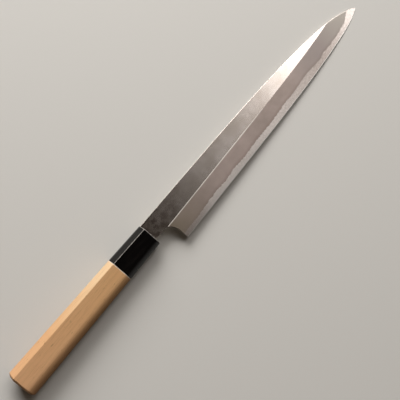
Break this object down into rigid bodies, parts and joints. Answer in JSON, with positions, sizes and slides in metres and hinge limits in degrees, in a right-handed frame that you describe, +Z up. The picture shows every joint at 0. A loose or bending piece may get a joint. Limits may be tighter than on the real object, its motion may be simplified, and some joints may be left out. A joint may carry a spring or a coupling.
{
  "type": "yanagiba knife",
  "caption": "Long single-bevel slicing knife with a forge-welded blade, a black horn ferrule and a D-shaped wooden handle, lying bevel side up.",
  "frame": {"origin": "centre of the bounding box in plan, on the plane that the knife lies on", "axes": "+X from the handle towards the tip, +Y towards the spine, +Z up out of the bevelled face"},
  "size_m": [0.425, 0.0374, 0.0208],
  "materials": {
    "soft_iron": "stone-ground soft iron, brushed along the flat and matte hazy on the bevel",
    "hard_steel": "fine-ground hard carbon steel, brighter than the iron",
    "buffalo_horn": "polished black water buffalo horn",
    "magnolia_wood": "sanded, unvarnished magnolia wood"
  },
  "bodies": {
    "root": {"blade_iron": "soft_iron", "blade_steel": "hard_steel", "ferrule": "buffalo_horn", "grip": "magnolia_wood"}
  },
  "joints": []
}
